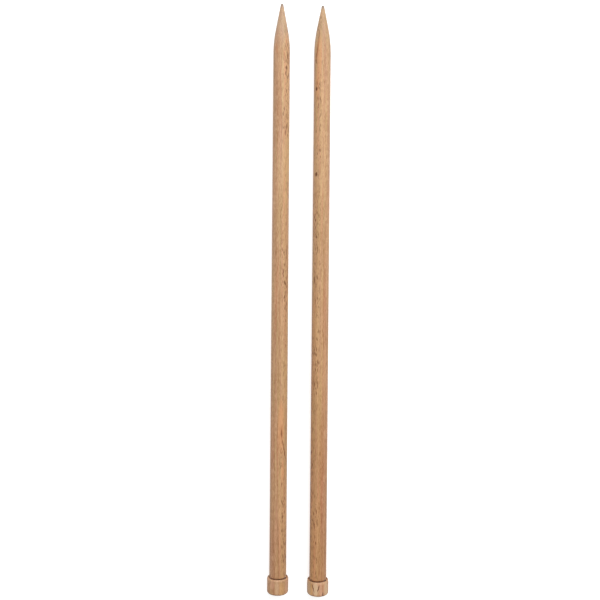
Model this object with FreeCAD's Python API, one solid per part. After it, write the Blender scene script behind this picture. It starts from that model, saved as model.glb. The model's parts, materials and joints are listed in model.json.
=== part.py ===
import FreeCAD, Part
import math
import os

# A pair of straight, single-pointed knitting needles, turned from beech.
#
# Each needle is a round shaft with a long tapered point at one end. Its other end is turned
# down to a short tenon and glued into the socket of a small cup-shaped cap, which keeps the
# stitches from sliding off. The two needles are loose: nothing joins one to the other.
#
# Frame: the needles lie side by side on a table at z = 0, points towards +Y, caps towards -Y.
# The origin is on the table, under the middle of the pair. Lengths are in millimetres.

# Shaft
SHAFT_RADIUS = 5.0  # knitting size 10 mm
TAPER_LENGTH = 30.0  # from the full radius to the tip
NOSE_RADIUS = 0.85  # blunt end, so that the point does not split the yarn

# Joint between shaft and cap
TENON_RADIUS = 4.75
TENON_CHAMFER = 0.3
SHOULDER_GAP = 0.3  # the shaft's shoulder stands this far out of the cap's mouth
GLUE_FILM = 0.1  # cured glue, round the tenon and under its end
GLUE_BEAD = 0.6  # glue that rose into the groove at the cap's mouth

# Cap
CAP_RADIUS = 6.25
CAP_FLOOR = 2.6  # solid wood under the socket
CAP_END_ROUND = 1.3  # rounding of the closed end's edge
GROOVE_DEPTH = 1.2  # of the open groove round the shaft, below the lip
LIP_FLAT = 0.1  # width of the lip's flat top
LIP_INNER_ROUND = 0.2  # rounding of the lip's edge to the groove

# How the pair lies
AXIS_SPACING = 24.05  # between the two axes at mid-length
SPLAY = math.radians(0.095)  # each needle's point leans this far outwards

# What differs from one needle to the other, because they are turned and fitted one at a time:
# side: -1 at -X and +1 at +X
# length: from the tip of the point to the end of the cap, sold as 35 cm
# end_at: the y of the cap's closed end
# point_angle: half the angle of the point's straight cone
# cap_height: of the whole cap
# mouth_radius: inside radius of the lip, and so the width of the groove round the shaft
# shoulder: how far down the cap its rounded shoulder reaches from the lip
NEEDLES = {
    "left": {
        "side": -1,
        "length": 350.0,
        "end_at": -174.75,
        "point_angle": math.radians(10.5),
        "cap_height": 9.15,
        "mouth_radius": 5.45,
        "shoulder": 1.0,
    },
    "right": {
        "side": 1,
        "length": 349.5,
        "end_at": -175.2,
        "point_angle": math.radians(11.1),
        "cap_height": 8.45,
        "mouth_radius": 5.6,
        "shoulder": 2.0,
    },
}

AXIS = FreeCAD.Vector(0, 1, 0)


def point(radius, station):
    """A profile point: radius from the needle's axis, station along it from the cap's end."""
    return FreeCAD.Vector(radius, station, 0)


def line(start, end):
    return Part.LineSegment(start, end).toShape()


def rounding(centre, radius, start, end):
    """An arc about centre, between two angles in degrees counted from the +radius direction."""
    places = []
    for angle in (start, (start + end) / 2, end):
        turn = math.radians(angle)
        places.append(centre + point(radius * math.cos(turn), radius * math.sin(turn)))
    return Part.Arc(*places).toShape()


def turned(edges):
    """The solid that a closed half-profile sweeps when it turns once about the axis."""
    wire = Part.Wire(edges)
    return Part.Face(wire).revolve(FreeCAD.Vector(), AXIS, 360)


def loop(path):
    """Straight edges through the points in path, closed back to the first."""
    return [line(a, b) for a, b in zip(path, path[1:] + path[:1])]


def shaft(own):
    """Tenon, shoulder, plain cylinder, convex blend, straight cone and round nose."""
    tenon_end = CAP_FLOOR + GLUE_FILM
    step = SHAFT_RADIUS - TENON_RADIUS
    shoulder = own["cap_height"] + SHOULDER_GAP
    taper_start = own["length"] - TAPER_LENGTH
    sine = math.sin(own["point_angle"])
    cosine = math.cos(own["point_angle"])

    # the nose's arc meets the cone where both have the cone's slope
    nose_centre = own["length"] - NOSE_RADIUS
    cone_end = point(NOSE_RADIUS * cosine, nose_centre + NOSE_RADIUS * sine)
    # the blend's radius is the one that leaves the cylinder and meets the cone without a corner
    rise = (cone_end.y - taper_start) * sine / cosine + cone_end.x - SHAFT_RADIUS
    blend = rise / (1 / cosine - 1)
    blend_centre = point(SHAFT_RADIUS - blend, taper_start)
    cone_start = blend_centre + point(blend * cosine, blend * sine)
    cone_angle = math.degrees(own["point_angle"])

    chamfer_start = point(TENON_RADIUS - TENON_CHAMFER, tenon_end)
    chamfer_end = point(TENON_RADIUS, tenon_end + TENON_CHAMFER)
    return turned(
        [
            line(point(0, tenon_end), chamfer_start),
            line(chamfer_start, chamfer_end),
            line(chamfer_end, point(TENON_RADIUS, shoulder)),
            rounding(point(TENON_RADIUS, shoulder + step), step, -90, 0),
            line(point(SHAFT_RADIUS, shoulder + step), point(SHAFT_RADIUS, taper_start)),
            rounding(blend_centre, blend, 0, cone_angle),
            line(cone_start, cone_end),
            rounding(point(0, nose_centre), NOSE_RADIUS, cone_angle, 90),
            line(point(0, own["length"]), point(0, tenon_end)),
        ]
    )


def socket(own, top):
    """The cap's hollow up to top: a blind hole, widened to form the groove below the lip."""
    socket_radius = TENON_RADIUS + GLUE_FILM
    mouth_radius = own["mouth_radius"]
    groove_bottom = own["cap_height"] - GROOVE_DEPTH
    return turned(
        loop(
            [
                point(0, CAP_FLOOR),
                point(socket_radius, CAP_FLOOR),
                point(socket_radius, groove_bottom),
                point(mouth_radius, groove_bottom),
                point(mouth_radius, top),
                point(0, top),
            ]
        )
    )


def cap(own):
    """A cup with a flat closed end, a straight wall, a round shoulder and a narrow lip."""
    height = own["cap_height"]
    end_round_centre = point(CAP_RADIUS - CAP_END_ROUND, CAP_END_ROUND)
    inner_round_centre = point(own["mouth_radius"] + LIP_INNER_ROUND, height - LIP_INNER_ROUND)
    lip_edge = point(inner_round_centre.x + LIP_FLAT, height)

    # the shoulder's arc leaves the wall without a corner and ends at the lip's edge
    wall_end = point(CAP_RADIUS, height - own["shoulder"])
    drop = CAP_RADIUS - lip_edge.x
    bend = (own["shoulder"] ** 2 + drop**2) / (2 * drop)
    bend_angle = math.degrees(math.asin(own["shoulder"] / bend))

    blank = turned(
        [
            line(point(0, 0), point(CAP_RADIUS - CAP_END_ROUND, 0)),
            rounding(end_round_centre, CAP_END_ROUND, -90, 0),
            line(point(CAP_RADIUS, CAP_END_ROUND), wall_end),
            rounding(point(CAP_RADIUS - bend, wall_end.y), bend, 0, bend_angle),
            line(lip_edge, point(inner_round_centre.x, height)),
            rounding(inner_round_centre, LIP_INNER_ROUND, 90, 180),
            line(point(own["mouth_radius"], inner_round_centre.y), point(0, inner_round_centre.y)),
            line(point(0, inner_round_centre.y), point(0, 0)),
        ]
    )
    return blank.cut(socket(own, height))


def glue(own, tenon):
    """What the tenon leaves free in the socket, up to the bead in the bottom of the groove."""
    return socket(own, own["cap_height"] - GROOVE_DEPTH + GLUE_BEAD).cut(tenon)


def lay_down(shape, own):
    """Move a shape from the needle's own axis to where that needle lies on the table.

    A needle rests on two circles: the cap's wall, where its shoulder starts, and the end of
    the shaft's cylinder. The wider cap tips the point down until both touch z = 0.
    """
    cap_contact = own["cap_height"] - own["shoulder"]
    shaft_contact = own["length"] - TAPER_LENGTH
    tilt = math.atan2(CAP_RADIUS - SHAFT_RADIUS, shaft_contact - cap_contact)
    turn = own["side"] * SPLAY

    end_height = CAP_RADIUS * math.cos(tilt) + cap_contact * math.sin(tilt)
    end_across = own["side"] * AXIS_SPACING / 2 + own["end_at"] * math.tan(turn)
    end = FreeCAD.Vector(end_across, own["end_at"], end_height)
    tip_down = FreeCAD.Rotation(FreeCAD.Vector(1, 0, 0), -math.degrees(tilt))
    turn_out = FreeCAD.Rotation(FreeCAD.Vector(0, 0, 1), -math.degrees(turn))
    return shape.transformed(FreeCAD.Placement(end, turn_out * tip_down).toMatrix())


def main():
    os.makedirs("parts", exist_ok=True)
    for name, own in NEEDLES.items():
        wood = shaft(own)
        pieces = {"shaft": wood, "cap": cap(own), "cap_glue": glue(own, wood)}
        for piece, shape in pieces.items():
            lay_down(shape, own).exportStep(f"parts/{name}_{piece}.step")


main()
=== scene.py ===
import json
import math

import bpy
from mathutils import Matrix, Vector


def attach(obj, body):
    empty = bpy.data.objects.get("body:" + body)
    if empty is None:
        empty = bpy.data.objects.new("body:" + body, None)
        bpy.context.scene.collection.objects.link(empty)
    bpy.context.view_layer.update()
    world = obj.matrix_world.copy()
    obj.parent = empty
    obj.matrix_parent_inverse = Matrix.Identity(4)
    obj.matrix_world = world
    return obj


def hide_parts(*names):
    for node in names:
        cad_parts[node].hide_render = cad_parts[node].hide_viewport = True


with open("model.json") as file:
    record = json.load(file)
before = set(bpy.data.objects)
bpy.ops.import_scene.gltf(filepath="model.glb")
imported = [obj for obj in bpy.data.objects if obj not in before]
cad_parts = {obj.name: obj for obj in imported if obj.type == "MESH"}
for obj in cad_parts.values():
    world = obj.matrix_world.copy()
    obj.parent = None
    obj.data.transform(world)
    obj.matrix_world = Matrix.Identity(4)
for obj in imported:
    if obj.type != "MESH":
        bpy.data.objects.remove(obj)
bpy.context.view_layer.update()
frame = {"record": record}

# A pair of straight knitting needles of turned beech, lying side by side on a white table.
#
# Each needle has a frame of its own: its origin is the middle of the cap's closed end, +Y runs
# along the needle's axis towards the point, +Z is up and +X is to the right. A place on a needle
# is given by its station, the distance along +Y, and its bearing, the angle about the axis from
# the top of the needle, positive towards +X. Lengths are in metres, and in the materials in mm.

MM = 0.001

# --------------------------------------------------------------------------- sizes
# The profiles are those of the CAD parts; the finish adds only what is too fine for them.
SKIN = 0.006 * MM  # how far round walls are set in, to stay inside the facets of the CAD parts
CAP_RADIUS = 6.25 * MM - SKIN
TAPER_LENGTH = 30.0 * MM
NOSE_RADIUS = 0.85 * MM
TENON_RADIUS = 4.75 * MM
TENON_CHAMFER = 0.3 * MM
SHOULDER_GAP = 0.3 * MM
GLUE_FILM = 0.1 * MM
GLUE_BEAD = 0.6 * MM
CAP_FLOOR = 2.6 * MM
CAP_END_ROUND = 1.3 * MM
GROOVE_DEPTH = 1.2 * MM
LIP_FLAT = 0.1 * MM
LIP_INNER_ROUND = 0.2 * MM

# A nick in the edge of a closed end.
NICK_BEARING = math.radians(27)
NICK_WIDTH = 0.60 * MM
NICK_DEPTH = 0.60 * MM
NICK_LENGTH = 2.4 * MM
NICK_FULL_LENGTH = 0.3 * NICK_LENGTH  # up to here it is at its full depth
NICK_INNER_RADIUS = 0.6 * CAP_RADIUS  # the middle of the closed end stays flat up to here
NICK_OUTER_RADIUS = 0.8 * CAP_RADIUS

# What differs from one needle to the other. wide_side is the bearing on which the cap's mouth is
# wider, by mouth_offset.
NEEDLES = {
    "left": {
        "length": 350.0 * MM,
        "point_angle": math.radians(10.5),
        "cap_height": 9.15 * MM,
        "mouth_radius": 5.45 * MM,
        "shoulder": 1.0 * MM,
        "wide_side": math.radians(60),
        "mouth_offset": 0.25 * MM,
        "nick": False,
    },
    "right": {
        "length": 349.5 * MM,
        "point_angle": math.radians(11.1),
        "cap_height": 8.45 * MM,
        "mouth_radius": 5.6 * MM,
        "shoulder": 2.0 * MM,
        "wide_side": math.radians(-60),
        "mouth_offset": 0.20 * MM,
        "nick": True,
    },
}

SHAFT_SEGMENTS = 144  # points round a shaft, and round its glue
CAP_SEGMENTS = 360
ROUND_OFF = 0.001 * MM  # allowed for when a point is compared with an edge of the profile


# --------------------------------------------------------------------------- profiles
# A profile is a list of (radius, station) points, from the axis out and back to the axis.
def arc(centre, radius, start, end, steps):
    """Points on an arc, between two angles in degrees counted from the +radius direction."""
    found = []
    for i in range(steps + 1):
        angle = math.radians(start + (end - start) * i / steps)
        found.append((centre[0] + radius * math.cos(angle), centre[1] + radius * math.sin(angle)))
    return found


def between(start, end, steps):
    """Points on a straight run, without its two ends."""
    found = []
    for i in range(1, steps):
        t = i / steps
        found.append((start[0] + (end[0] - start[0]) * t, start[1] + (end[1] - start[1]) * t))
    return found


def shaft_profile(own, radius):
    """Tenon, small round shoulder, cylinder, convex blend, straight cone and round nose."""
    tenon_end = CAP_FLOOR + GLUE_FILM
    step = radius - TENON_RADIUS
    shoulder = own["cap_height"] + SHOULDER_GAP
    taper_start = own["length"] - TAPER_LENGTH
    sine = math.sin(own["point_angle"])
    cosine = math.cos(own["point_angle"])
    cone_angle = math.degrees(own["point_angle"])

    # the nose meets the cone, and the blend the cylinder and the cone, without a corner
    nose_centre = own["length"] - NOSE_RADIUS
    cone_end = (NOSE_RADIUS * cosine, nose_centre + NOSE_RADIUS * sine)
    rise = (cone_end[1] - taper_start) * sine / cosine + cone_end[0] - radius
    blend = rise / (1 / cosine - 1)
    bend = arc((radius - blend, taper_start), blend, 0, cone_angle, steps=24)
    return (
        [(0, tenon_end), (TENON_RADIUS - TENON_CHAMFER, tenon_end)]
        + [(TENON_RADIUS, tenon_end + TENON_CHAMFER)]
        + arc((TENON_RADIUS, shoulder + step), step, -90, 0, steps=6)
        + between((radius, shoulder + step), (radius, taper_start), steps=160)
        + bend
        + between(bend[-1], cone_end, steps=40)
        + arc((0, nose_centre), NOSE_RADIUS, cone_angle, 90, steps=12)
    )


def cap_profile(own):
    """A cup: flat closed end, rounded edge, wall, round shoulder, lip, groove and socket."""
    height = own["cap_height"]
    mouth = own["mouth_radius"]
    end_flat = CAP_RADIUS - CAP_END_ROUND
    inner_centre = (mouth + LIP_INNER_ROUND, height - LIP_INNER_ROUND)
    groove_bottom = height - GROOVE_DEPTH
    socket = TENON_RADIUS + GLUE_FILM

    # the shoulder leaves the wall without a corner and ends at the lip's edge
    wall_end = (CAP_RADIUS, height - own["shoulder"])
    drop = CAP_RADIUS - (inner_centre[0] + LIP_FLAT)
    bend = (own["shoulder"] ** 2 + drop**2) / (2 * drop)
    bend_angle = math.degrees(math.asin(own["shoulder"] / bend))
    return (
        [(0, 0)]
        + between((0, 0), (end_flat, 0), steps=16)
        + arc((end_flat, CAP_END_ROUND), CAP_END_ROUND, -90, 0, steps=24)
        + between((CAP_RADIUS, CAP_END_ROUND), wall_end, steps=24)
        + arc((CAP_RADIUS - bend, wall_end[1]), bend, 0, bend_angle, steps=14)
        + arc(inner_centre, LIP_INNER_ROUND, 90, 180, steps=8)
        + [(mouth, groove_bottom), (socket, groove_bottom), (socket, CAP_FLOOR), (0, CAP_FLOOR)]
    )


def glue_profile(own):
    """The glue under and round the tenon, with its bead in the bottom of the groove."""
    mouth = own["mouth_radius"]
    groove_bottom = own["cap_height"] - GROOVE_DEPTH
    socket = TENON_RADIUS + GLUE_FILM
    tenon_end = CAP_FLOOR + GLUE_FILM
    bead_top = groove_bottom + GLUE_BEAD
    return [
        (0, CAP_FLOOR),
        (socket, CAP_FLOOR),
        (socket, groove_bottom),
        (mouth, groove_bottom),
        (mouth, bead_top),
        (TENON_RADIUS, bead_top),
        (TENON_RADIUS, tenon_end + TENON_CHAMFER),
        (TENON_RADIUS - TENON_CHAMFER, tenon_end),
        (0, tenon_end),
    ]


# --------------------------------------------------------------------------- lathe
def add_mesh(name, points, faces):
    """A new object in the scene, from its points and faces."""
    mesh = bpy.data.meshes.new(name)
    mesh.from_pydata(points, [], faces)
    thing = bpy.data.objects.new(name, mesh)
    bpy.context.scene.collection.objects.link(thing)
    return thing


def truly_round(radius, station, bearing):
    """The shape of what is the same on every bearing."""
    return radius, station


def turned_points(profile, segments, shape):
    """One ring of points for each point of the profile, then its two ends on the axis."""
    points = []
    for radius, station in profile[1:-1]:
        for i in range(segments):
            bearing = 2 * math.pi * i / segments
            r, s = shape(radius, station, bearing)
            points.append((r * math.sin(bearing), s, r * math.cos(bearing)))
    return points + [(0, profile[0][1], 0), (0, profile[-1][1], 0)]


def turned_faces(rings, segments):
    """Quads from ring to ring, and a fan of triangles at each end."""
    first_pole = rings * segments
    last_pole = first_pole + 1
    last_ring = first_pole - segments
    steps = [(i, (i + 1) % segments) for i in range(segments)]
    faces = []
    for low in range(0, last_ring, segments):
        high = low + segments
        faces += [(low + i, low + j, high + j, high + i) for i, j in steps]
    faces += [(first_pole, j, i) for i, j in steps]
    faces += [(last_pole, last_ring + i, last_ring + j) for i, j in steps]
    return faces


def lathe(name, profile, place, segments, shape=truly_round):
    """A closed solid: the profile turned about +Y, in the needle's own frame place.

    shape(radius, station, bearing) gives the radius and station that a point really has, for
    what isn't perfectly round.
    """
    points = [place @ Vector(point) for point in turned_points(profile, segments, shape)]
    piece = add_mesh(name, points, turned_faces(len(profile) - 2, segments))
    piece.data.validate()
    piece.data.shade_smooth()
    return piece


def eased(value, low, high):
    """0 below low, 1 above high, smooth between."""
    t = min(max((value - low) / (high - low), 0.0), 1.0)
    return t * t * (3 - 2 * t)


def wider_mouth(own):
    """The shape of a cap whose mouth is wider on one side of the shaft than on the other."""
    mouth = own["mouth_radius"] - ROUND_OFF
    lip_edge = own["mouth_radius"] + LIP_INNER_ROUND + LIP_FLAT
    groove_bottom = own["cap_height"] - GROOVE_DEPTH - ROUND_OFF

    def shape(radius, station, bearing):
        if station > groove_bottom and radius > mouth:
            towards = max(math.cos(bearing - own["wide_side"]), 0.0)
            share = min((CAP_RADIUS - radius) / (CAP_RADIUS - lip_edge), 1.0)
            radius += own["mouth_offset"] * towards**2 * share
        return radius, station

    return shape


def nicked(shape):
    """Another shape, with a nick in the edge of the closed end."""

    def with_nick(radius, station, bearing):
        radius, station = shape(radius, station, bearing)
        across = (bearing - NICK_BEARING) * CAP_RADIUS / (NICK_WIDTH / 2)
        along = 1.0 - eased(station, NICK_FULL_LENGTH, NICK_LENGTH)
        outside = eased(radius, NICK_INNER_RADIUS, NICK_OUTER_RADIUS)
        return radius - NICK_DEPTH * math.exp(-across * across) * along * outside, station

    return with_nick


# --------------------------------------------------------------------------- node helpers
class Nodes:
    """Adds nodes to one material. An input is another node's output or a plain value."""

    def __init__(self, material):
        self.tree = material.node_tree
        self.shader = self.tree.nodes["Principled BSDF"]

    def add(self, kind, **settings):
        node = self.tree.nodes.new(kind)
        for key, value in settings.items():
            setattr(node, key, value)
        return node

    def plug(self, socket, value):
        if isinstance(value, bpy.types.NodeSocket):
            self.tree.links.new(value, socket)
        else:
            socket.default_value = value

    def feed(self, socket_name, value):
        """Give the shader's own socket a value or another node's output."""
        self.plug(self.shader.inputs[socket_name], value)

    def math(self, operation, *values, clamp=False):
        node = self.add("ShaderNodeMath", operation=operation, use_clamp=clamp)
        for socket, value in zip(node.inputs, values):
            self.plug(socket, value)
        return node.outputs[0]

    def vector(self, operation, *values):
        node = self.add("ShaderNodeVectorMath", operation=operation)
        for socket, value in zip(node.inputs, values):
            self.plug(socket, value)
        return node.outputs["Value" if operation in ("LENGTH", "DOT_PRODUCT") else "Vector"]

    def split(self, vector):
        node = self.add("ShaderNodeSeparateXYZ")
        self.plug(node.inputs[0], vector)
        return node.outputs

    def join(self, x, y, z):
        node = self.add("ShaderNodeCombineXYZ")
        for socket, value in zip(node.inputs, (x, y, z)):
            self.plug(socket, value)
        return node.outputs[0]

    def into(self, vector, location, rotation, scale):
        """The coordinates of vector in a frame with this location, rotation and scale."""
        node = self.add("ShaderNodeMapping", vector_type="TEXTURE")
        node.inputs["Location"].default_value = location
        node.inputs["Rotation"].default_value = rotation
        node.inputs["Scale"].default_value = scale
        self.plug(node.inputs["Vector"], vector)
        return node.outputs[0]

    def noise(self, vector, detail=2.0, roughness=0.5, output="Fac"):
        node = self.add("ShaderNodeTexNoise", noise_dimensions="3D", normalize=True)
        self.plug(node.inputs["Vector"], vector)
        node.inputs["Scale"].default_value = 1.0
        node.inputs["Detail"].default_value = detail
        node.inputs["Roughness"].default_value = roughness
        return node.outputs[output]

    def shift(self, vector, noise_colour, reach):
        """vector moved about by a noise, by up to half of reach to each side."""
        centred = self.vector("SUBTRACT", noise_colour, (0.5, 0.5, 0.5))
        return self.vector("ADD", vector, self.vector("MULTIPLY", centred, reach))

    def white_noise(self, value):
        node = self.add("ShaderNodeTexWhiteNoise", noise_dimensions="1D")
        self.plug(node.inputs["W"], value)
        return node.outputs["Value"]

    def cells(self, vector):
        """Distance to the nearest of many scattered points, and a random number per point.

        The distance makes spindles, pointed at their ends, where the vector is stretched.
        """
        node = self.add("ShaderNodeTexVoronoi", voronoi_dimensions="3D", feature="F1")
        node.distance = "MINKOWSKI"
        node.inputs["Exponent"].default_value = 1.3
        self.plug(node.inputs["Vector"], vector)
        node.inputs["Scale"].default_value = 1.0
        return node.outputs["Distance"], self.split(node.outputs["Color"])[0]

    def span(self, value, low, high, to_low=0.0, to_high=1.0):
        """value between low and high, eased and mapped to the range from to_low to to_high."""
        node = self.add("ShaderNodeMapRange", interpolation_type="SMOOTHSTEP")
        entries = zip(node.inputs, (value, low, high, to_low, to_high))
        for socket, entry in entries:
            self.plug(socket, entry)
        return node.outputs["Result"]

    def mix(self, share, a, b, blend="MIX"):
        node = self.add("ShaderNodeMix", data_type="RGBA", blend_type=blend)
        colours = [socket for socket in node.inputs if socket.type == "RGBA"]
        self.plug(node.inputs["Factor"], share)
        for socket, value in zip(colours, (a, b)):
            self.plug(socket, value if isinstance(value, bpy.types.NodeSocket) else (*value, 1))
        return next(socket for socket in node.outputs if socket.type == "RGBA")

    def filtered(self, share, colour, tint):
        """colour, changed by this share towards what it is when multiplied by tint."""
        return self.mix(share, colour, self.mix(1.0, colour, tint, "MULTIPLY"))

    def bump(self, height, depth, strength=0.5):
        node = self.add("ShaderNodeBump")
        node.inputs["Distance"].default_value = depth
        node.inputs["Strength"].default_value = strength
        self.plug(node.inputs["Height"], height)
        return node.outputs["Normal"]


def new_material(name):
    material = bpy.data.materials.new(name)
    material.use_nodes = True
    return material


# --------------------------------------------------------------------------- beech: values
# Beech is a block of solid wood, so that every cut through it shows its own grain. In the block
# +Y runs along the fibres, +Z along the rays, away from the pith, and +X along the growth rings.
ALONG_FIBRES = Vector((0, 1, 0))
ALONG_RAYS = Vector((0, 0, 1))

# Linear colours of the wood.
PALE_WOOD = (0.618, 0.397, 0.206)
PINK_WOOD = (0.577, 0.348, 0.213)
SALMON = (0.65, 0.315, 0.180)
HONEY = (0.57, 0.41, 0.185)
# painted shade: darker, more orange wood towards the cap's end, where less light falls
CAP_END_SHADE_TINT = (0.85, 0.60, 0.45)  # multiplies the colour towards the cap's end of a needle
DEEPER = (0.48, 0.38, 0.27)  # multiplies it in late wood, dark fibres and end grain
RAY_DARK = (0.135, 0.048, 0.018)
# the rays' paler tone where cut along, with a painted sheen
RAY_PALE_SHEEN = (0.62, 0.42, 0.25)
PORE = (0.20, 0.085, 0.035)
RED_STREAK = (0.40, 0.16, 0.06)
# painted highlight: the cap's lip, where its shoulder catches the light
LIP_HIGHLIGHT = (0.66, 0.43, 0.28)
TIP_GREY = (0.20, 0.158, 0.138)
# glue stain with painted shade of the cap's groove, on the shaft beside the lip
GLUE_STAIN_AND_SHADE = (0.55, 0.22, 0.07)

# Linear colours of the listed marks, in the order in which they are laid over each other.
TINTS = {
    "pink": (0.56, 0.30, 0.19),
    "gold": (0.56, 0.31, 0.12),
    "pale": (0.58, 0.40, 0.24),
    "orange": (0.62, 0.29, 0.13),
    "red": RED_STREAK,
    "fleck": RAY_DARK,
}

# The wood's features as noise: how fine along +X, +Y and +Z, per mm, the detail, the roughness.
GRAIN = {
    "bend": ((0.15, 0.03, 0.15), 2.0, 0.5),
    "wander": ((0.10, 0.012, 0.10), 1.0, 0.5),
    "hue": ((0.5, 0.02, 0.5), 1.0, 0.5),
    "streak": ((1.0, 0.02, 1.0), 2.0, 0.5),
    "band": ((0.9, 0.014, 0.9), 2.0, 0.5),
    "cloud": ((0.08, 0.02, 0.08), 2.0, 0.5),
    "fibre": ((4.6, 0.08, 4.6), 3.0, 0.65),
    "dash": ((4.2, 0.42, 4.2), 2.0, 0.6),
    "cluster": ((0.25, 0.035, 0.1), 1.0, 0.5),
    "pore": ((11.0, 0.9, 11.0), 1.0, 0.5),
    "ragged": ((2.0, 0.6, 2.0), 1.0, 0.5),  # in the needle's own frame
}

# Noise that darkens the wood: its value where the wood is darkest, its value where it is clear,
# and how strong the shade is.
SHADES = {
    "band": (0.30, 0.70, 0.18),
    "cloud": (0.30, 0.70, 0.12),
    "fibre": (0.30, 0.70, 0.40),
    "dash": (0.36, 0.60, 0.40),
}
LATE_WOOD_SHADE = 0.15
SHADE_AMONG_RAYS = 0.75  # what is left of all shade where the rays are cut across

# What fades in: the value at which it starts, the one at which it is full, and its strength
# there. The comments say what the values are of.
FADES = {
    "pink_patch": (0.40, 0.65, 0.5),  # the hue noise
    "pink_ring": (0.2, 0.8, 0.3),  # the ring's random number
    "pink_side": (-1.0, 5.0, 0.4),  # mm from the axis towards the blushing side
    "salmon": (0.50, 0.68, 0.45),  # the streak noise
    "honey": (0.50, 0.32, 0.45),  # the streak noise
    "cut_across": (0.60, 0.95, 1.0),  # how squarely the rays are cut across
    "pale_sheen_ribbon": (0.75, 0.25, 0.25),  # how squarely the rays are cut across
    "ray_size": (0.12, 1.0, 0.68),  # the ray's random number; the size is in spacings
    "ray": (0.0, 0.10, 1.0),  # how deep a point is inside the ray, in spacings
    "pore": (0.66, 0.74, 1.0),  # the pore noise
    "round_side": (0.95, 0.70, 1.0),  # how squarely the fibres are cut across
}
RAY_CLUSTER = (0.38, 0.62, 0.25)  # between clusters and in them, and what is left between them
SOAKED = (0.55, 0.98)  # how squarely the fibres are cut where end grain starts and is full

BEND = (1.6, 0.0, 1.6)  # mm that the fibres wave about, in all
RAGGED = (0.6, 1.2, 0)  # mm that the edges of marks wave about, round the needle and along it

RING_WIDTH = 2.3  # mm
RING_WANDER = 3.0  # mm
PITH_DEPTH = 95.0  # mm from the needle's axis
LATE_WOOD = (0.55, 0.92, 0.94, 1.0)  # parts of a ring: it starts, is full, starts to end, ends

RAY_SPACING = (0.41, 2.7, 6.0)  # mm along +X, +Y and +Z
RAY_STRENGTH = 0.95  # of the dark dashes
PORE_STRENGTH = 0.45

MARK_RADIUS = 5.0  # mm from the axis, where a bearing is turned into a distance
MARK_REACH = (0.7, 0.6)  # where a mark ends, from its middle, in parts of its width and length
MARK_FULL = 0.5  # the part of that reach in which it has its full strength

# Sanding, grey, glue stain and painted light: where each starts, where it is full, its strength.
SANDED = (34.0, 12.0, 0.35)  # mm from the very point
GREY_TIP = (3.4, 0.8, 0.8)  # mm from the very point
# glue stain with painted shade of the cap's groove
STAIN_AND_SHADE_AT_LIP = (0.7, 0.3, 0.2)  # mm beyond the cap's lip
# painted highlight on the lip's shoulder
LIP_HIGHLIGHT_BAND = (1.4, 0.7, 0.22)  # mm below the cap's lip

# The wax.
SPECULAR = 0.3
SHEEN = 0.22
SHEEN_ROUGHNESS = 0.4
FIBRES_FELT = (0.3, 0.7)  # values of the fibre noise in a dip and on a ridge
WAX_ROUGHNESS = (0.55, 0.45)  # in a dip and on a ridge
FIBRE_HEIGHT = 0.5  # of a ridge, in depths of a pore
GRAIN_DEPTH = 0.02 * MM
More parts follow.
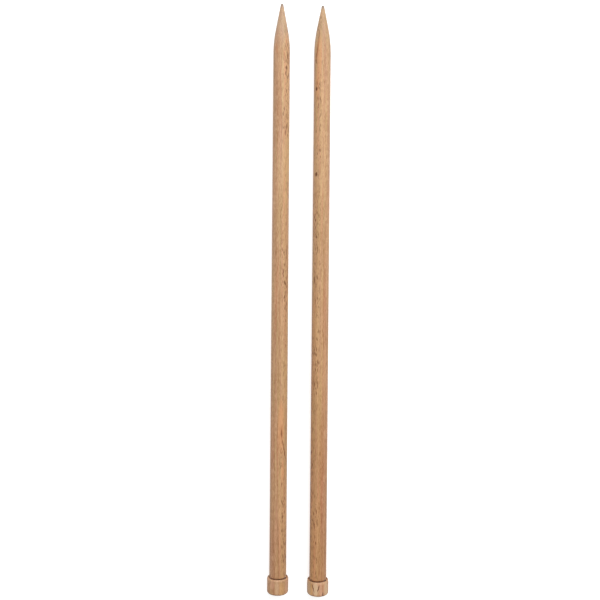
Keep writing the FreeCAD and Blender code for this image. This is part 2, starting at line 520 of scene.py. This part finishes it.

# How each piece looks:
# turn: degrees by which its block of wood is turned about the needle's axis
# tilt: degrees by which the fibres are then out of line with that axis
# offset: mm, the place in the block that it is cut from
# run_out: mm that the growth rings drift sideways for each mm along the needle
# blush: the bearing of the pinker side, in degrees
# end_grain, mellow: how much darker end grain is, and the painted shade at the cap's end
# mellow_reach: mm from the cap's closed end over which that painted shade fades out
# sanded: the colour of the sanded point
# marks: by tint, (station in mm, bearing in degrees, length, width, lean in degrees, strength)
LOOKS = {
    "left_shaft": {
        "turn": 52,
        "blush": -60,
        "tilt": 0.25,
        "offset": (0, 0, 1.2),
        "run_out": 0.004,
        "end_grain": 0.5,
        "mellow": 0.31,
        "mellow_reach": 190.0,
        "sanded": (0.33, 0.27, 0.205),
        "marks": {
            "fleck": (
                (322.0, 32, 6.0, 0.6, -12, 0.55),
                (316.8, 45, 7.0, 0.8, -10, 0.8),
                (313.0, 50, 3.5, 0.8, 0, 0.7),
                (93.4, 21, 5.0, 0.7, -3, 0.7),
                (199.5, 50, 10.7, 0.5, 5, 0.65),
                (165.5, 52, 2.6, 0.6, 0, 0.6),
                (159.0, 47, 2.2, 0.6, 0, 0.6),
                (83.9, 41, 15.5, 0.45, -13, 0.8),
                (81.5, 46, 3.0, 0.7, 0, 0.8),
                (55.7, 46, 2.4, 0.6, 0, 0.7),
                (37.0, 45, 2.2, 0.6, 0, 0.6),
                (20.0, 48, 7.0, 0.5, 0, 0.55),
            ),
            "red": (
                (93.9, 21, 9.0, 1.3, 0, 0.7),
                (83.9, 38, 12.0, 0.9, -13, 0.4),
                (321.5, -34, 8.0, 1.4, -6, 0.45),
                (325.4, 38, 3.0, 0.7, 0, 0.7),
                (317.6, 18, 7.0, 0.6, -8, 0.5),
            ),
            "orange": ((97.5, 17, 34.0, 3.4, 0, 0.5), (72.0, 30, 14.0, 1.6, 0, 0.4)),
        },
    },
    "right_shaft": {
        "turn": -46,
        "blush": 90,
        "tilt": -0.3,
        "offset": (31, 57, 13),
        "run_out": -0.005,
        "end_grain": 0.5,
        "mellow": 0.52,
        "mellow_reach": 270.0,
        "sanded": (0.33, 0.25, 0.155),
        "marks": {
            "fleck": (
                (319.0, -45, 9.0, 0.6, 8, 0.6),
                (314.2, -50, 3.0, 0.7, 0, 0.8),
                (297.5, -44, 2.4, 1.3, 0, 1.0),
                (279.0, -44, 2.0, 0.6, 0, 0.5),
                (271.9, -42, 2.0, 0.6, 0, 0.5),
                (246.3, -40, 2.8, 1.5, 0, 1.0),
                (193.4, -44, 1.8, 0.8, 0, 0.7),
                (183.9, -45, 6.5, 0.8, 3, 0.6),
                (149.3, -55, 2.0, 0.7, 0, 0.6),
                (123.6, -46, 12.0, 0.5, 2, 0.5),
                (96.0, -48, 2.2, 0.7, 0, 0.7),
                (75.4, -49, 2.0, 0.6, 0, 0.6),
                (59.0, -44, 2.0, 0.6, 0, 0.6),
                (40.8, -30, 2.2, 0.6, 0, 0.6),
                (22.6, -35, 2.2, 0.7, 0, 0.6),
            ),
            "red": ((322.0, -38, 19.0, 1.5, 8, 0.75), (329.4, 10, 9.0, 0.7, 0, 0.4)),
            "orange": ((310.0, -28, 40.0, 2.6, 3, 0.4), (322.0, -20, 16.0, 2.0, 4, 0.3)),
        },
    },
    "left_cap": {
        "turn": -70,
        "blush": -60,
        "tilt": 2,
        "offset": (-17, 21, 5),
        "run_out": 0.0,
        "end_grain": 0.6,
        "mellow": 0.24,
        "mellow_reach": 100.0,
        "marks": {
            "pink": ((6.0, -32, 5.0, 2.4, 0, 0.5), (5.0, 56, 12.0, 1.6, 0, 0.5)),
            "pale": ((5.0, -2, 9.0, 1.8, 0, 0.4),),
            "gold": ((3.5, 24, 9.0, 2.2, 0, 0.4),),
        },
    },
    "right_cap": {
        "turn": -15,
        "blush": 40,
        "tilt": 8,
        "offset": (11, -33, 41),
        "run_out": 0.0,
        "end_grain": 0.6,
        "mellow": 0.12,
        "mellow_reach": 100.0,
        "marks": {
            "pale": (
                (4.5, -13, 8.5, 2.2, 0, 0.8),
                (4.0, -55, 9.0, 2.0, 0, 0.5),
                (4.0, 50, 9.0, 2.6, 0, 0.6),
            ),
            "gold": ((4.0, -38, 9.0, 1.2, 0, 0.6),),
            "pink": ((4.5, 17, 12.0, 1.2, 0, 0.5), (4.5, 33, 9.0, 1.0, 0, 0.5)),
            "red": ((5.0, 27, 7.0, 0.5, 0, 0.4),),
            "fleck": (
                (5.2, -28, 5.0, 0.45, -17, 1.0),
                (5.2, 2, 4.6, 0.45, 12, 1.0),
                (1.4, 27, 3.4, 0.5, 0, 0.9),
            ),
        },
    },
}


# --------------------------------------------------------------------------- beech: material
# In these functions n adds the nodes, and block and needle are a point's coordinates in mm, in
# the block of wood and in the needle's own frame.
def in_frame(n, spot, place):
    """The coordinates of spot in the frame place, in mm."""
    return n.into(spot, place.translation, place.to_euler(), (MM, MM, MM))


def grain(n, feature, at, output="Fac"):
    """The noise of one of the wood's features."""
    fineness, detail, roughness = GRAIN[feature]
    return n.noise(n.vector("MULTIPLY", at, fineness), detail, roughness, output)


def fade(n, feature, value):
    """How strongly a feature shows where value is what it depends on."""
    start, full, strength = FADES[feature]
    return n.span(value, start, full, 0.0, strength)


def block_frame(place, look):
    """The frame of the block that a piece is cut from."""
    turn = Matrix.Rotation(math.radians(look["turn"]), 4, "Y")
    tilt = Matrix.Rotation(math.radians(look["tilt"]), 4, "X")
    return place @ turn @ tilt


def squareness(n, normal, frame_of_block, direction):
    """How squarely the surface cuts across a direction in the block: 1 if it does, 0 along it."""
    turned = (frame_of_block.to_3x3() @ direction).normalized()
    return n.math("ABSOLUTE", n.vector("DOT_PRODUCT", normal, turned))


def growth_rings(n, block, run_out):
    """The share of late wood and a random number per ring."""
    x, y, z = n.split(block)
    out = n.math("ADD", z, PITH_DEPTH)
    radius = n.math("SQRT", n.math("ADD", n.math("POWER", x, 2.0), n.math("POWER", out, 2.0)))
    wander = n.math("MULTIPLY", grain(n, "wander", block), RING_WANDER)
    radius = n.math("ADD", radius, wander)
    radius = n.math("ADD", radius, n.math("MULTIPLY", y, run_out))
    count = n.math("DIVIDE", radius, RING_WIDTH)
    phase = n.math("FRACT", count)
    start, full, full_end, end = LATE_WOOD
    late = n.math("MULTIPLY", n.span(phase, start, full), n.span(phase, end, full_end))
    return late, n.white_noise(n.math("FLOOR", count))


def ground_colour(n, needle, block, ring, look):
    """Pinker and paler wood, from patch to patch, ring to ring and side to side, and streaks."""
    patch = fade(n, "pink_patch", grain(n, "hue", block))
    pinkness = n.math("ADD", patch, fade(n, "pink_ring", ring))
    blush = math.radians(look["blush"])
    side = n.vector("DOT_PRODUCT", needle, (math.sin(blush), 0, math.cos(blush)))
    pinkness = n.math("ADD", pinkness, fade(n, "pink_side", side), clamp=True)
    colour = n.mix(pinkness, PALE_WOOD, PINK_WOOD)

    streak = grain(n, "streak", block)
    colour = n.mix(fade(n, "salmon", streak), colour, SALMON)
    return n.mix(fade(n, "honey", streak), colour, HONEY)


def add_shade(n, colour, late, noises, across):
    """Late wood, long bands, fibres and short dashes, all fainter where the rays show."""
    shade = n.math("MULTIPLY", late, LATE_WOOD_SHADE)
    for feature, (darkest, clear, strength) in SHADES.items():
        shade = n.math("ADD", shade, n.span(noises[feature], darkest, clear, strength, 0.0))
    left = n.span(across, 0.0, 1.0, 1.0, SHADE_AMONG_RAYS)
    return n.filtered(n.math("MULTIPLY", shade, left, clamp=True), colour, DEEPER)


def add_rays(n, colour, block, facing, across):
    """Rays: dark dashes where cut across; pale ribbons where cut along, a paler tone and painted
    sheen.
    """
    distance, pick = n.cells(n.vector("DIVIDE", block, RAY_SPACING))
    depth = n.math("SUBTRACT", fade(n, "ray_size", pick), distance)
    few, many, thinned = RAY_CLUSTER
    cluster = n.span(grain(n, "cluster", block), few, many, thinned, 1.0)
    ray = n.math("MULTIPLY", fade(n, "ray", depth), cluster)
    dark = n.math("MULTIPLY", ray, n.math("MULTIPLY", across, RAY_STRENGTH))
    colour = n.mix(dark, colour, RAY_DARK)
    # pale ribbons: the rays' paler tone with a painted sheen
    pale = n.math("MULTIPLY", ray, fade(n, "pale_sheen_ribbon", facing))
    return n.mix(pale, colour, RAY_PALE_SHEEN)


def marked_share(n, surface, places):
    """The share of marks of one tint. surface is (distance round the needle, station, 0)."""
    share = None
    for station, bearing, length, width, lean, strength in places:
        at = (math.radians(bearing) * MARK_RADIUS, station, 0)
        reach = (width * MARK_REACH[0], length * MARK_REACH[1], 1)
        off = n.into(surface, at, (0, 0, -math.radians(lean)), reach)
        one = n.span(n.vector("LENGTH", off), 1.0, MARK_FULL, 0.0, strength)
        share = one if share is None else n.math("MAXIMUM", share, one)
    return share


def add_marks(n, colour, needle, end_grain, places):
    """Ragged marks at their own places on the round side, and none on the closed end."""
    x, station, z = n.split(needle)
    around = n.math("MULTIPLY", n.math("ARCTAN2", x, z), MARK_RADIUS)
    surface = n.join(around, station, 0.0)
    surface = n.shift(surface, grain(n, "ragged", needle, "Color"), RAGGED)
    round_side = fade(n, "round_side", end_grain)
    for tint, tint_colour in TINTS.items():
        if tint in places:
            share = marked_share(n, surface, places[tint])
            colour = n.mix(n.math("MULTIPLY", share, round_side), colour, tint_colour)
    return colour


def shaft_sanding_stain_and_shade(n, colour, station, own, look):
    """The point is sanded paler with a grey very end; by the cap, glue stain and painted shade."""
    back = n.math("SUBTRACT", own["length"] / MM, station)
    start, full, strength = SANDED
    colour = n.mix(n.span(back, start, full, 0.0, strength), colour, look["sanded"])
    start, full, strength = GREY_TIP
    colour = n.mix(n.span(back, start, full, 0.0, strength), colour, TIP_GREY)
    # glue stain with painted shade of the cap's groove, just beyond the lip
    lip = own["cap_height"] / MM
    start, full, strength = STAIN_AND_SHADE_AT_LIP
    return n.mix(n.span(station, lip + start, lip + full, 0.0, strength), colour, GLUE_STAIN_AND_SHADE)


def cap_lip_highlight(n, colour, station, own, look):
    """The lip is painted paler: a painted highlight where its shoulder catches the light."""
    lip = own["cap_height"] / MM
    start, full, strength = LIP_HIGHLIGHT_BAND
    return n.mix(n.span(station, lip - start, lip - full, 0.0, strength), colour, LIP_HIGHLIGHT)


def wax(n, fibre, pore):
    """A thin satin wax over fibres and pores that can still be felt."""
    n.feed("Specular IOR Level", SPECULAR)
    n.feed("Sheen Weight", SHEEN)
    n.feed("Sheen Roughness", SHEEN_ROUGHNESS)
    n.feed("Roughness", n.span(fibre, *FIBRES_FELT, *WAX_ROUGHNESS))
    height = n.math("SUBTRACT", n.math("MULTIPLY", fibre, FIBRE_HEIGHT), pore)
    n.feed("Normal", n.bump(height, GRAIN_DEPTH))


def beech(name, place, own, look, wear_and_painted_light):
    """The wood of one piece, whose needle has the frame place.

    wear_and_painted_light(n, colour, station, own, look) adds what making and use have done
    to that kind of piece, and the painted shade and highlight by the cap's lip.
    """
    material = new_material(name)
    n = Nodes(material)
    coordinates = n.add("ShaderNodeTexCoord")
    spot = coordinates.outputs["Object"]
    normal = coordinates.outputs["Normal"]
    frame_of_block = block_frame(place, look)
    needle = in_frame(n, spot, place)
    block = n.vector("ADD", in_frame(n, spot, frame_of_block), look["offset"])
    block = n.shift(block, grain(n, "bend", block, "Color"), BEND)
    facing = squareness(n, normal, frame_of_block, ALONG_RAYS)
    across = fade(n, "cut_across", facing)
    end_grain = squareness(n, normal, frame_of_block, ALONG_FIBRES)

    late, ring = growth_rings(n, block, look["run_out"])
    noises = {feature: grain(n, feature, block) for feature in SHADES}
    colour = ground_colour(n, needle, block, ring, look)
    colour = add_shade(n, colour, late, noises, across)
    colour = add_rays(n, colour, block, facing, across)
    pore = fade(n, "pore", grain(n, "pore", block))
    colour = n.mix(n.math("MULTIPLY", pore, PORE_STRENGTH), colour, PORE)

    # painted shade: darker, more orange wood towards the cap's end, where less light falls
    station = n.split(needle)["Y"]
    mellow = n.span(station, 0.0, look["mellow_reach"], look["mellow"], 0.0)
    colour = n.filtered(mellow, colour, CAP_END_SHADE_TINT)

    colour = add_marks(n, colour, needle, end_grain, look["marks"])
    # end grain drinks in more of the wax and is darker
    soaked = n.span(end_grain, *SOAKED, 0.0, look["end_grain"])
    colour = n.filtered(soaked, colour, DEEPER)
    n.feed("Base Color", wear_and_painted_light(n, colour, station, own, look))
    wax(n, noises["fibre"], pore)
    return material


# --------------------------------------------------------------------------- glue
GLUE_AMBER = (0.56, 0.27, 0.11)
GLUE_BROWN = (0.44, 0.19, 0.07)
SANDING_DUST = (0.62, 0.42, 0.26)
GLUE_CLOUD_FINENESS = (0.8, 0.8, 0.8)  # per mm
DUST_FINENESS = (6.0, 6.0, 6.0)  # per mm
CLOUDED = (0.35, 0.65)  # values of the cloud noise where the glue is amber and where it is brown
DUSTED = (0.62, 0.70)  # values of the dust noise where a speck starts and where it is full
DUST_STRENGTH = 0.6
GLUE_ROUGHNESS = 0.25
DUST_ROUGHNESS = 0.7
GLUE_LUMPS = 0.05 * MM


def dried_glue():
    """Cloudy amber glue with a lumpy surface, dulled by specks of sanding dust."""
    material = new_material("dried_glue")
    n = Nodes(material)
    spot = n.add("ShaderNodeTexCoord").outputs["Object"]
    spot = n.vector("DIVIDE", spot, (MM, MM, MM))
    cloud = n.noise(n.vector("MULTIPLY", spot, GLUE_CLOUD_FINENESS))
    colour = n.mix(n.span(cloud, *CLOUDED), GLUE_AMBER, GLUE_BROWN)
    dust = n.noise(n.vector("MULTIPLY", spot, DUST_FINENESS), detail=1.0)
    dust = n.span(dust, *DUSTED)
    n.feed("Base Color", n.mix(n.math("MULTIPLY", dust, DUST_STRENGTH), colour, SANDING_DUST))
    n.feed("Roughness", n.span(dust, 0.0, 1.0, GLUE_ROUGHNESS, DUST_ROUGHNESS))
    n.feed("Normal", n.bump(cloud, GLUE_LUMPS))
    return material


# --------------------------------------------------------------------------- the two needles
def mount(name):
    """One of the mounts in the part's record."""
    return next(m for m in frame["record"]["mounts"] if m["name"] == name)


def needle_place(side):
    """The matrix of a needle's own frame, from its mounts."""
    end = Vector(mount(f"{side}_cap_end")["pos_m"])
    along = Vector(mount(f"{side}_shank")["axis"]).normalized()
    right = along.cross(Vector((0, 0, 1))).normalized()
    up = right.cross(along)
    rotation = Matrix((right, along, up)).transposed()
    return Matrix.Translation(end) @ rotation.to_4x4()


def finish_piece(piece, side, kind, material):
    """Give a piece its material, tie it to the needle's body and hide its CAD part."""
    piece.data.materials.append(material)
    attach(piece, f"needle_{side}")
    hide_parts(f"{side}_{kind}")


def build(side, own, glue):
    """The shaft, the cap and the glue between them, for the needle on this side."""
    place = needle_place(side)
    radius = mount(f"{side}_shank")["dims"]["r_mm"] * MM - SKIN

    shaft = lathe(f"{side}_shaft_finished", shaft_profile(own, radius), place, SHAFT_SEGMENTS)
    shaft_wood = beech(f"{side}_shaft_beech", place, own, LOOKS[f"{side}_shaft"], shaft_sanding_stain_and_shade)
    finish_piece(shaft, side, "shaft", shaft_wood)

    mouth = wider_mouth(own)
    cap_shape = nicked(mouth) if own["nick"] else mouth
    cap = lathe(f"{side}_cap_finished", cap_profile(own), place, CAP_SEGMENTS, cap_shape)
    cap_wood = beech(f"{side}_cap_beech", place, own, LOOKS[f"{side}_cap"], cap_lip_highlight)
    finish_piece(cap, side, "cap", cap_wood)

    bead = lathe(f"{side}_cap_glue_finished", glue_profile(own), place, SHAFT_SEGMENTS, mouth)
    finish_piece(bead, side, "cap_glue", glue)


def build_needles():
    glue = dried_glue()
    for side, own in NEEDLES.items():
        build(side, own, glue)


# --------------------------------------------------------------------------- floor and light
FLOOR_HALF = 3.0  # metres from its middle to its sides
FLOOR_DROP = 0.05 * MM  # the needles stand this far clear of it
FLOOR_COLOUR = (0.60, 0.60, 0.60, 1)
FLOOR_ROUGHNESS = 0.9
FLOOR_GLOW = 0.62

WALL_RADIUS = 2.9  # metres
WALL_BOTTOM = -0.01
WALL_TOP = 4.0
WALL_SIDES = 96
WALL_GLOW = 1.0

WHITE = (1, 1, 1, 1)
BLACK = (0, 0, 0, 1)


def glowing(name, colour, glow):
    """A new material that shines white by itself, and its shader."""
    material = new_material(name)
    shader = material.node_tree.nodes["Principled BSDF"]
    shader.inputs["Base Color"].default_value = colour
    shader.inputs["Emission Color"].default_value = WHITE
    shader.inputs["Emission Strength"].default_value = glow
    return material, shader


def floor():
    """A white table top."""
    far = FLOOR_HALF
    corners = [(-far, -far, 0), (far, -far, 0), (far, far, 0), (-far, far, 0)]
    plane = add_mesh("floor", corners, [(0, 1, 2, 3)])
    plane.location.z = -FLOOR_DROP
    material, shader = glowing("white_table", FLOOR_COLOUR, FLOOR_GLOW)
    shader.inputs["Roughness"].default_value = FLOOR_ROUGHNESS
    plane.data.materials.append(material)
    plane.visible_glossy = False


def backdrop():
    """A round white wall behind everything, which only the camera sees: it lights nothing."""
    corners = []
    for height in (WALL_BOTTOM, WALL_TOP):
        for i in range(WALL_SIDES):
            angle = 2 * math.pi * i / WALL_SIDES
            corners.append((WALL_RADIUS * math.cos(angle), WALL_RADIUS * math.sin(angle), height))
    sides = []
    for i in range(WALL_SIDES):
        j = (i + 1) % WALL_SIDES
        sides.append((i, j, WALL_SIDES + j, WALL_SIDES + i))
    wall = add_mesh("backdrop", corners, sides)
    material, shader = glowing("white_wall", BLACK, WALL_GLOW)
    shader.inputs["Specular IOR Level"].default_value = 0.0
    wall.data.materials.append(material)
    wall.visible_diffuse = False
    wall.visible_glossy = False
    wall.visible_shadow = False


def softbox(name, place, size, power):
    """A square light at place, in metres, that faces the origin."""
    data = bpy.data.lights.new(name, "AREA")
    data.shape = "RECTANGLE"
    data.size = size
    data.size_y = size
    data.energy = power
    lamp = bpy.data.objects.new(name, data)
    lamp.location = place
    lamp.rotation_euler = (-Vector(place)).to_track_quat("-Z", "Y").to_euler()
    bpy.context.scene.collection.objects.link(lamp)


def sky(front, horizon, zenith):
    """A soft grey surround, brightest overhead. Low down it goes from front, at -Y, to horizon."""
    world = bpy.data.worlds.new("studio")
    world.use_nodes = True
    tree = world.node_tree
    direction = tree.nodes.new("ShaderNodeTexCoord").outputs["Generated"]
    split = tree.nodes.new("ShaderNodeSeparateXYZ")
    tree.links.new(direction, split.inputs[0])
    side = tree.nodes.new("ShaderNodeMapRange")
    side.inputs["From Min"].default_value = -1.0
    side.inputs["To Min"].default_value = front
    side.inputs["To Max"].default_value = horizon
    height = tree.nodes.new("ShaderNodeMapRange")
    height.inputs["To Max"].default_value = zenith
    tree.links.new(split.outputs["Y"], side.inputs["Value"])
    tree.links.new(split.outputs["Z"], height.inputs["Value"])
    tree.links.new(side.outputs["Result"], height.inputs["To Min"])
    background = tree.nodes["Background"]
    tree.links.new(height.outputs["Result"], background.inputs["Strength"])
    background.inputs["Color"].default_value = WHITE
    bpy.context.scene.world = world


def light_studio():
    floor()
    backdrop()
    softbox("key", place=(0.25, 0.68, 0.80), size=0.7, power=10.7)
    sky(front=0.15, horizon=0.65, zenith=0.80)
    bpy.context.scene.view_settings.view_transform = "Standard"


# --------------------------------------------------------------------------- camera
CAMERA_PLACE = Vector((-0.50, -13.13, 391.8)) * MM  # nearly straight above the pair
CAMERA_TURN = (0.0256, -0.0014, 0.00835)  # radians about X, Y and Z
LENS = 39.0  # mm
SENSOR_WIDTH = 36.0  # mm
NEAREST = 0.01  # metres, from where the camera sees


def camera():
    """A camera that looks down on the pair, with both points at the top of the picture."""
    data = bpy.data.cameras.new("camera")
    data.lens = LENS
    data.sensor_width = SENSOR_WIDTH
    data.clip_start = NEAREST
    viewer = bpy.data.objects.new("camera", data)
    viewer.location = CAMERA_PLACE
    viewer.rotation_euler = CAMERA_TURN
    bpy.context.scene.collection.objects.link(viewer)
    bpy.context.scene.camera = viewer


build_needles()
light_studio()
camera()
